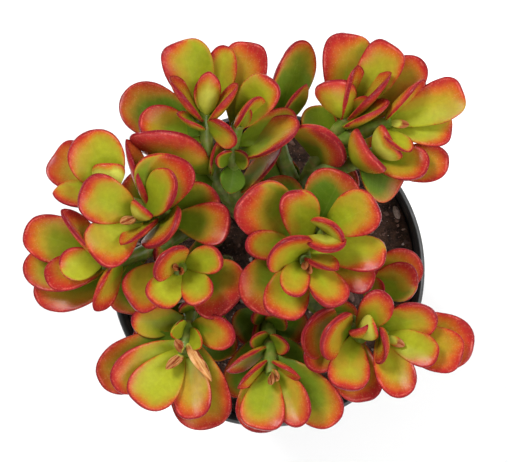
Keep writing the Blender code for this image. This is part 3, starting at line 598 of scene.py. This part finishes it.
def makePot(material):
    p = SimpleNamespace(**potForm)
    floor, channel, innerFoot = p.wall, p.wall + p.channelRise, p.foot - p.wall
    top, wallIn, low = p.height, p.collar - p.wall, p.collarLow
    # from the middle of the floor up the inside, over the lip, down the outside and under the foot
    profile = [
        (0, floor), (p.channelIn - 1.4, floor), (p.channelIn, channel), (p.channelOut, channel),
        (p.channelOut + 1.4, floor), (innerFoot - 1.0, floor), (innerFoot, floor + 1.0),
        (p.shoulder - p.wall, low), (wallIn, low + 1.6), (wallIn + 0.4, top - 1.6),
        (wallIn + 1.0, top - 0.4), (p.rim - 1.4, top), (p.rim - 0.4, top - 0.4), (p.rim, top - 1.4),
        (p.rim - 0.3, top - 2.6), (p.collar + 0.4, top - 3.2), (p.collar, low + 1.2),
        (p.collar - 0.6, low - 0.2), (p.shoulder, low - 1.0), (p.foot, 1.2),
        (p.foot - 1.0, 0), (p.channelOut + 1.8, 0), (p.channelOut + 0.4, p.channelRise),
        (p.channelIn - 0.4, p.channelRise), (p.channelIn - 1.8, 0), (0, 0),
    ]
    pot = turnProfile("pot_shell", roundedProfile(profile, p.round), p.turns)
    holes = bpy.data.collections.new("drainHoles")
    bpy.context.scene.collection.children.link(holes)
    circle = (p.channelIn + p.channelOut) / 2
    for i in range(p.drains):
        a = math.tau * (i + 0.5) / p.drains
        bm = bmesh.new()
        centre = Vector((circle * math.cos(a), circle * math.sin(a), p.channelRise))
        bmesh.ops.create_cone(
            bm, cap_ends=True, segments=p.drainSides, radius1=p.drain * mm, radius2=p.drain * mm,
            depth=p.drainCut * mm, matrix=Matrix.Translation(centre * mm))
        mesh = bpy.data.meshes.new("drainHole")
        bm.to_mesh(mesh)
        bm.free()
        holes.objects.link(bpy.data.objects.new(f"drainHole{i}", mesh))
    cut = pot.modifiers.new("drains", "BOOLEAN")
    cut.operation, cut.operand_type, cut.collection = "DIFFERENCE", "COLLECTION", holes
    applyAll(pot)
    for hole in list(holes.objects):
        bpy.data.objects.remove(hole)
    bpy.data.collections.remove(holes)
    pot.data.materials.clear()
    pot.data.materials.append(material)
    pot.data.shade_smooth()
    pot.data.set_sharp_from_angle(angle=math.radians(p.sharpAbove))
    return pot


soilForm = {
    "edge": 80.0, "crown": 82.5, "gap": 0.3, "turns": 128, "rings": 52,
    "crumb": 1.3, "crumbScale": 230.0, "level": 0.55,  # height and size of the crumbs
    "inside": 51.2, "above": 79.8,  # crumbs and bits lie inside this radius and above this height
    "chips": 110000.0, "chipSizes": (0.5, 2.0),  # how many on a square metre, least and largest
    "grains": 420000.0, "grainSizes": (0.25, 0.8), "uneven": 0.9, "unevenScale": 900.0, "seed": 11,
}


def soilHeight(x, y):
    share = min(1.0, math.hypot(x, y) / (potForm["collar"] - potForm["wall"]))
    return soilForm["crown"] + (soilForm["edge"] - soilForm["crown"]) * share * share


def randomValue(seed, low, high):
    kind = "FLOAT_VECTOR" if isinstance(low, tuple) else "FLOAT"
    inputs = {"Min": low, "Max": high, "Seed": seed}
    return addNode(seed.tree, "FunctionNodeRandomValue", inputs, "Value", data_type=kind)


def joinParts(*parts):
    joined = addNode(parts[0].tree, "GeometryNodeJoinGeometry")
    for part in parts:
        feed(joined.socket.node, {0: part})
    return joined


def scatterBits(ground, onTop, density, seed, divisions, sizes):
    # uneven bits of a random size and turn, which each carry a tone of their own
    tree, (least, most) = ground.tree, sizes
    spread = {"Selection": onTop, "Density": density, "Seed": seed}
    points = ground.into("DistributePointsOnFaces", spread)
    stone = addNode(tree, "GeometryNodeMeshIcoSphere", {"Radius": 1.0, "Subdivisions": divisions})
    shape = randomValue(seed, (0.7, 0.45, 0.3), (1.5, 1.0, 0.6))
    size = randomValue(seed + 1.0, 0.0, 1.0)
    size = size * size * size * ((most - least) * mm) + least * mm
    spin = randomValue(seed + 2.0, (-0.5, -0.5, 0.0), (0.5, 0.5, 6.28))
    stone = {"Instance": stone, "Rotation": spin, "Scale": shape * size}
    bits = points.into("InstanceOnPoints", stone)
    bits = storeValue(bits, "chipTone", randomValue(seed + 3.0, 0.0, 1.0), "INSTANCE")
    return bits.into("RealizeInstances")


def soilTree(peat, bark):
    form, plain = SimpleNamespace(**soilForm), ("crumbScale", "chips", "grains", "seed")
    tree, given, values = openTree("pottingMix", soilForm, plain, ("crumb",), peat=peat, bark=bark)
    x, y, z = splitVector(addNode(tree, "GeometryNodeInputPosition"))
    inside = (x * x + y * y).calc("SQRT").calc("LESS_THAN", form.inside * mm)
    onTop = inside * z.calc("GREATER_THAN", form.above * mm)
    crumb = addNode(tree, "ShaderNodeTexNoise",
                    {"Scale": given.crumbScale, "Detail": 4.0, "Roughness": 0.62})
    lift = (crumb - form.level) * given.crumb * onTop * 2.0
    upward = addNode(tree, "ShaderNodeCombineXYZ", {"Z": lift})
    ground = given.geometry.into("SetPosition", {"Offset": upward}).into("SetShadeSmooth")
    seed = given.seed
    chips = scatterBits(ground, onTop, given.chips, seed, 2, form.chipSizes)
    grains = scatterBits(ground, onTop, given.grains, seed + 10.0, 1, form.grainSizes)
    # uneven faces, so that no bit is a plain ball
    rough = addNode(tree, "ShaderNodeTexNoise", {"Scale": form.unevenScale, "Detail": 1.0}, "Color")
    uneven = {"Offset": (rough - (0.5, 0.5, 0.5)) * (form.uneven * mm)}
    bits = storeValue(joinParts(chips, grains).into("SetPosition", uneven), "isChip", 1.0)
    whole = joinParts(ground, bits).into("RealizeInstances")
    whole = whole.into("SetMaterial", {"Material": given.peat})
    isChip = namedValues(tree, "isChip")[0].calc("GREATER_THAN", 0.5)
    whole = whole.into("SetMaterial", {"Selection": isChip, "Material": given.bark})
    addNode(tree, "NodeGroupOutput", {0: whole})
    return tree, values


def makeSoil(peat, bark):
    p, s = SimpleNamespace(**potForm), SimpleNamespace(**soilForm)
    floor = p.wall + s.gap
    channel, innerFoot, edge = floor + p.channelRise, p.foot - floor, p.collar - floor
    # from the crown out to the edge, then down the pot's wall and in along its floor
    profile = [(edge * i / s.rings, soilHeight(edge * i / s.rings, 0)) for i in range(s.rings + 1)]
    profile += [
        (edge - 0.1, p.collarLow + 1.9), (p.shoulder - floor - 0.1, p.collarLow + 0.3),
        (innerFoot - 0.1, floor + 1.2), (innerFoot - 1.1, floor), (p.channelOut + 1.6, floor),
        (p.channelOut + 0.2, channel), (p.channelIn - 0.2, channel), (p.channelIn - 1.6, floor),
        (0, floor),
    ]
    plug = turnProfile("soil_plug", profile, s.turns)
    return grow(plug, *soilTree(peat, bark), "potting_mix")


def newMaterial(name, roughness, specular=0.5, **look):
    # a material, its shader, its place in object coordinates, and its other settings
    material = bpy.data.materials.new(name)
    material.use_nodes = True
    shader = material.node_tree.nodes["Principled BSDF"]
    feed(shader, {"Roughness": roughness, "Specular IOR Level": specular})
    place = addNode(material.node_tree, "ShaderNodeTexCoord", output="Object")
    return material, shader, place, SimpleNamespace(**look)


def noise(place, scale, detail=2.0, roughness=0.5):
    inputs = {"Vector": place, "Scale": scale, "Detail": detail, "Roughness": roughness}
    return addNode(place.tree, "ShaderNodeTexNoise", inputs)


def blend(factor, low, high, kind="MIX"):
    tree = next(value.tree for value in (factor, low, high) if isinstance(value, Wire))
    low, high = ((*colour, 1) if isinstance(colour, tuple) else colour for colour in (low, high))
    inputs = {"Factor": factor, "A_Color": low, "B_Color": high}
    return addNode(tree, "ShaderNodeMix", inputs, "Result_Color", data_type="RGBA", blend_type=kind)


def colourScale(value, stops):
    made = addNode(value.tree, "ShaderNodeValToRGB", {0: value})
    points = made.socket.node.color_ramp.elements
    while len(points) < len(stops):
        points.new(0.5)
    for point, (place, colour) in zip(points, sorted(stops.items())):
        point.position, point.color = place, (*colour, 1)
    return made


def carried(tree, *names):
    # numbers that the mesh carries at each point
    kind = "ShaderNodeAttribute"
    return [addNode(tree, kind, output="Fac", attribute_name=name) for name in names]


def grainGroup():
    # fine grain that every finish here uses with its own size and strength
    inputs = {"place": "Vector", "scale": "Float", "strength": "Float", "depth": "Float"}
    outputs = {"speckle": "Float", "normal": "Vector"}
    group, given = openGroup("surfaceGrain", "ShaderNodeTree", inputs, outputs)
    speckle = noise(given.place, given.scale, 3.0, 0.6)
    bump = {"Height": speckle, "Strength": given.strength, "Distance": given.depth}
    addNode(group, "NodeGroupOutput", {0: speckle, 1: addNode(group, "ShaderNodeBump", bump)})
    return group


def addGrain(place, group, scale, strength, depth):
    inputs = {"place": place, "scale": scale, "strength": strength, "depth": depth}
    return allOutputs(addNode(place.tree, "ShaderNodeGroup", inputs, node_tree=group)).values()


leafLook = {
    "crimson": (0.228, 0.008, 0.015), "red": (0.358, 0.021, 0.013), "flame": (0.42, 0.085, 0.012),
    "amber": (0.38, 0.165, 0.014), "gold": (0.33, 0.23, 0.013), "bronze": (0.37, 0.18, 0.014),
    "oldRed": (0.2, 0.018, 0.008), "oldBronze": (0.16, 0.07, 0.006), "pink": (0.43, 0.038, 0.036),
    # glint is the colour of the painted highlight line inside the rim
    # the pale colour of the pore dots is partly their own and partly a painted highlight
    "rim": (0.17, 0.006, 0.014), "glint": (0.68, 0.15, 0.12), "pore": (0.8, 0.42, 0.26),
    "vein": (0.5, 0.5, 0.1),
    "dry": (0.5, 0.22, 0.06), "dryPale": (0.7, 0.42, 0.19), "driedDark": (0.2, 0.03, 0.01),
    # the face's colour by how ripe the leaf is
    "face": {0.0: (0.45, 0.45, 0.06), 0.2: (0.32, 0.335, 0.015), 0.38: (0.235, 0.262, 0.009),
             0.56: (0.145, 0.2, 0.007), 0.76: (0.09, 0.16, 0.006), 1.0: (0.062, 0.12, 0.004)},
    "reach": 450.0, "leastReach": 0.7, "rootReach": 0.1, "tipReach": 3.2,  # how deep the red comes
    "leaning": 1.15, "leastLeaning": 0.16,  # how unlike its two sides are
    "veins": 0.07, "rimLine": 0.85, "paleLine": 0.5, "mottle": (0.93, 1.07),
    "broadScale": 230.0, "slowScale": 75.0, "poreScale": 1200.0, "mottleScale": 520.0,
    "grain": (1700.0, 0.12, 0.00025),  # scale, strength and depth
    "roughness": 0.33, "specular": 0.11, "glow": 0.07, "glowRadius": (0.004, 0.0025, 0.0008),
}


def makeLeafMaterial(grain):
    material, shader, place, look = newMaterial("leaf_skin", **leafLook)
    tree = material.node_tree
    edge, along, side, upper = carried(
        tree, "edgeDistance", "leafAlongShare", "leafSide", "leafUpper")
    width, ripe, blush, lean, whim = carried(tree, "leafWidth", "ripe", "blush", "lean", "whim")
    small = width.ramp(0.002, 0.012, 0.15, 1.0)
    broad = noise(place, look.broadScale) - 0.5
    slow = noise(place, look.slowScale, 1.0)
    fleck, normal = addGrain(place, grain, *look.grain)
    fleck = fleck - 0.5
    # how far in the red comes: wider at the tip, on the outer face, and on the side it leans to
    reach = blush ** 1.4 * width * look.reach
    reach = reach + small * blush.ramp(0.0, 0.2, 0.1, 1.0) * look.leastReach
    leaning = 1.0 - (lean + whim.ramp(0.0, 1.0, -0.5, 0.5)) * side * look.leaning
    reach = reach * leaning.calc("MAXIMUM", look.leastLeaning)
    reach = reach * along.ramp(0.12, 0.68, look.rootReach, 0.7)
    reach = reach * along.ramp(0.5, 1.0, 1.0, look.tipReach)
    reach = reach * upper.ramp(-0.3, 0.3, 1.3, 1.0) * slow.ramp(0.3, 0.7, 0.65, 1.35)
    share = (edge + broad * small * 1.8 + fleck * small * 1.5) / reach
    margin = colourScale(share, {0.0: look.crimson, 0.16: look.red, 0.34: look.flame,
                                 0.6: look.amber, 0.98: look.gold})
    outer = upper.ramp(0.25, -0.35)
    margin = blend((outer * 0.35 + 0.05) * share.ramp(0.55, 0.1), margin, look.pink)
    margin = blend(ripe.ramp(0.5, 0.95, 0.0, 0.5), margin, look.oldRed)
    # the face is greener near the root and in the middle, and bronze towards the red
    green = ripe + broad * 0.08 + along.ramp(0.6, 0.0, 0.0, 0.14)
    tan = share.ramp(3.0, 0.8) * blush.ramp(0.1, 0.8) * slow.ramp(0.25, 0.6, 0.35, 0.95)
    tan = tan * ripe.ramp(0.5, 0.9, 1.0, 0.45)
    bronze = blend(ripe.ramp(0.35, 0.9, 0.0, 0.75), look.bronze, look.oldBronze)
    face = blend(tan, colourScale(green, look.face), bronze)
    colour = blend(share.ramp(0.45, 1.85), margin, face)
    # faint veins: a paler midrib and side veins that run out towards the tip
    crossed = abs(side) * 2.6
    vein = abs((along * 26.0 - crossed * crossed).calc("COSINE")) ** 14.0
    lines = (vein * 0.35).calc("MAXIMUM", abs(side).ramp(0.05, 0.0, 0.0, 0.7))
    colour = blend(lines * small * look.veins, colour, look.vein)
    # the thick rim: a dark red line at the very edge, and inside it a pale broken line that is a
    # painted highlight
    rimEdge = edge / small
    rimZone = along.ramp(0.3, 0.7) * blush.ramp(0.1, 0.35) * leaning.ramp(0.5, 0.9, 0.3, 1.0)
    colour = blend(rimEdge.ramp(0.95, 0.15) * rimZone * look.rimLine, colour, look.rim)
    paleLine = rimEdge.ramp(0.7, 1.0) * rimEdge.ramp(1.5, 1.0) * rimZone
    paleLine = paleLine * (broad + fleck).ramp(-0.12, 0.2, 0.0, look.paleLine)
    colour = blend(paleLine, colour, look.glint)
    # pale dots close together on the red: partly the real pores, partly a painted highlight on them
    poreGlints = {"Vector": place, "Scale": look.poreScale}
    poreGlints = addNode(tree, "ShaderNodeTexVoronoi", poreGlints, "Distance").ramp(0.34, 0.1)
    colour = blend(poreGlints * share.ramp(1.2, 0.3, 0.03, 0.11), colour, look.pore)
    # young leaves that dried from the tip down: the further below zero, the more of the leaf
    start = ripe * 4.0 + 1.05
    dryness = (along + fleck * 0.3 - start).ramp(-0.05, 0.08)
    dryEdge = rimEdge.ramp(1.0, 0.5) * along.ramp(0.35, 0.6)
    dryness = dryness.calc("MAXIMUM", dryEdge) * ripe.ramp(-0.01, -0.05)
    # dried skin has fibres along the leaf and one dark slit in the middle
    fibres = addNode(tree, "ShaderNodeCombineXYZ", {0: side * 2.2, 1: along, 2: width * 900.0})
    dryColour = colourScale(noise(fibres, 2.6, 3.0, 0.6),
                            {0.32: look.driedDark, 0.45: look.dry, 0.66: look.dryPale})
    slit = abs(side) + broad * 1.2
    dryColour = blend(slit.ramp(0.34, 0.12, 0.0, 0.92), dryColour, look.driedDark)
    dryColour = blend(width.ramp(0.0045, 0.003, 0.0, 0.7), dryColour, look.driedDark)
    colour = blend(dryness, colour, dryColour)
    mottle = noise(place, look.mottleScale, 3.0, 0.65).ramp(0.3, 0.7, *look.mottle)
    waxy = fleck.ramp(-0.3, 0.3, -0.05, 0.08) + share.ramp(0.3, 1.4, -0.11, 0.1)
    feed(shader, {
        "Base Color": blend(1.0, colour, mottle, "MULTIPLY"),
        "Roughness": waxy + leafLook["roughness"], "Normal": normal,
        "Subsurface Weight": look.glow, "Subsurface Radius": look.glowRadius,
        "Subsurface Scale": 1.0,
    })
    return material


stemLook = {
    "green": (0.085, 0.15, 0.01), "pale": (0.2, 0.27, 0.045), "bark": (0.11, 0.095, 0.035),
    "scar": (0.3, 0.16, 0.07), "speck": (0.1, 0.1, 0.03), "woodyBelow": (0.122, 0.098),
    "grain": (1400.0, 0.35, 0.0004), "patchScale": 300.0, "roughness": 0.33,
}


def makeStemMaterial(grain):
    material, shader, place, look = newMaterial("stem_skin", **stemLook)
    ring, = carried(place.tree, "stemRing")
    height = splitVector(place)[2]
    patch = noise(place, look.patchScale)
    speckle, normal = addGrain(place, grain, *look.grain)
    colour = blend(patch.ramp(0.3, 0.75), look.green, look.pale)
    colour = blend((height + patch * 0.02).ramp(*look.woodyBelow), colour, look.bark)
    colour = blend(ring * 0.45, colour, look.scar)
    colour = blend(speckle.ramp(0.55, 0.8, 0.0, 0.35), colour, look.speck)
    feed(shader, {"Base Color": colour, "Normal": normal})
    return material


potLook = {
    "base": (0.011, 0.011, 0.012), "worn": (0.019, 0.0185, 0.0185), "dust": (0.06, 0.046, 0.036),
    "grain": (900.0, 0.18, 0.0002), "smearScale": 60.0,
    "roughness": 0.33, "roughnessRange": (0.27, 0.49),
}


def makePotMaterial(grain):
    material, shader, place, look = newMaterial("nursery_plastic", **potLook)
    speckle, normal = addGrain(place, grain, *look.grain)
    smear = noise(place, look.smearScale, 4.0, 0.65)
    height = splitVector(place)[2]
    colour = blend(smear.ramp(0.45, 0.75, 0.0, 0.6), look.base, look.worn)
    colour = blend(speckle.ramp(0.56, 0.72) * smear.ramp(0.4, 0.65) * 0.35, colour, look.dust)
    colour = blend(height.ramp(0.012, 0.0) * 0.25, colour, look.worn)
    roughness = smear.ramp(0.3, 0.7, *look.roughnessRange)
    feed(shader, {"Base Color": colour, "Roughness": roughness, "Normal": normal})
    return material


soilLook = {
    "dark": (0.016, 0.009, 0.007), "peat": (0.06, 0.03, 0.02), "fibre": (0.13, 0.07, 0.045),
    "grain": (1500.0, 0.9, 0.0008), "clumpScale": 330.0, "roughness": 0.95, "specular": 0.25,
}
chipLook = {
    # colour by each bit's own tone
    "tones": {0.0: (0.02, 0.011, 0.009), 0.35: (0.06, 0.03, 0.022), 0.62: (0.12, 0.06, 0.045),
              0.8: (0.23, 0.13, 0.105), 0.93: (0.36, 0.25, 0.22), 1.0: (0.5, 0.4, 0.36)},
    "dirt": (0.02, 0.012, 0.01), "grain": (2200.0, 0.8, 0.0004), "roughness": 0.85, "specular": 0.3,
}


def makeSoilMaterial(grain):
    material, shader, place, look = newMaterial("peat_mix", **soilLook)
    speckle, normal = addGrain(place, grain, *look.grain)
    clump = noise(place, look.clumpScale, 4.0, 0.6)
    colour = blend(clump.ramp(0.35, 0.65), look.dark, look.peat)
    colour = blend(speckle.ramp(0.58, 0.74), colour, look.fibre)
    feed(shader, {"Base Color": colour, "Normal": normal})
    return material


def makeChipMaterial(grain):
    material, shader, place, look = newMaterial("bark_chip", **chipLook)
    speckle, normal = addGrain(place, grain, *look.grain)
    tone, = carried(place.tree, "chipTone")
    colour = blend(speckle.ramp(0.3, 0.7, 0.45, 0.0), colourScale(tone, look.tones), look.dirt)
    feed(shader, {"Base Color": colour, "Normal": normal})
    return material


studio = {
    "cameraPlace": (-0.0048, 0.0136, 0.79), "lens": 142.1, "sensor": 36.0, "lightsAim": (0, 0, 0.1),
    "floorRadius": 6.0, "horizon": 0.64, "zenith": 0.38,
    "floor": {"roughness": 0.8, "specular": 0.2,
              "pale": (0.93, 0.93, 0.93), "shade": 0.985, "scale": 6.0},
    "lights": (((-0.7, 0.8, 1.3), 0.45, 20.5), ((1.05, 0.15, 1.15), 0.8, 14.5),
               ((0.25, -1.2, 1.0), 1.0, 10.0)),  # place, size and power
}


def makeFloor():
    bm = bmesh.new()
    bmesh.ops.create_circle(bm, cap_ends=True, segments=96, radius=studio["floorRadius"])
    mesh = bpy.data.meshes.new("floor")
    bm.to_mesh(mesh)
    bm.free()
    material, shader, place, look = newMaterial("pale_floor", **studio["floor"])
    shade = tuple(c * look.shade for c in look.pale)
    feed(shader, {"Base Color": blend(noise(place, look.scale), look.pale, shade)})
    mesh.materials.append(material)
    addObject("floor", mesh)


def makeLights():
    for i, (place, size, power) in enumerate(studio["lights"]):
        light = bpy.data.lights.new(f"softbox{i}", "AREA")
        light.size, light.energy = size, power
        lamp = addObject(light.name, light)
        lamp.location = place
        lamp.rotation_mode = "QUATERNION"
        away = Vector(place) - Vector(studio["lightsAim"])
        lamp.rotation_quaternion = away.to_track_quat("Z", "Y")
    # white all round, dimmer overhead so that the leaves' gloss keeps its colour
    world = bpy.data.worlds.new("studio")
    world.use_nodes = True
    height = splitVector(addNode(world.node_tree, "ShaderNodeTexCoord", output="Generated"))[2]
    strength = height.ramp(0.35, 0.9, studio["horizon"], studio["zenith"])
    feed(world.node_tree.nodes["Background"], {"Color": (1, 1, 1, 1), "Strength": strength})
    bpy.context.scene.world = world


def makeCamera():
    camera = bpy.data.cameras.new("camera")
    camera.lens, camera.sensor_width = studio["lens"], studio["sensor"]
    seat = addObject("camera", camera)
    seat.location = studio["cameraPlace"]
    bpy.context.scene.camera = seat
    bpy.context.scene.view_settings.view_transform = "Standard"


def stand(piece, node):
    # the piece rides on the root and stands for the node
    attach(piece, "root")
    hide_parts(node)


grain = grainGroup()
blade, cane = leafTree(makeLeafMaterial(grain)), stemTree(makeStemMaterial(grain))
print("stage: leaf and stem trees made")

for name, stem in stems.items():
    for piece, guide, tree in ("leaves_", leafSites, blade), ("shoots_", stemLine, cane):
        stand(grow(guide(name, stem), *tree, piece + name), "stem_" + name)
leafCount = sum(len(leaves) for spine, leaves in shoots.values())
print("stage:", leafCount, "leaves grown on", len(stems), "stems")

stand(makePot(makePotMaterial(grain)), "pot")
stand(makeSoil(makeSoilMaterial(grain), makeChipMaterial(grain)), "soil")
print("stage: pot and soil made")

makeFloor()
makeLights()
makeCamera()
print("stage: studio set")
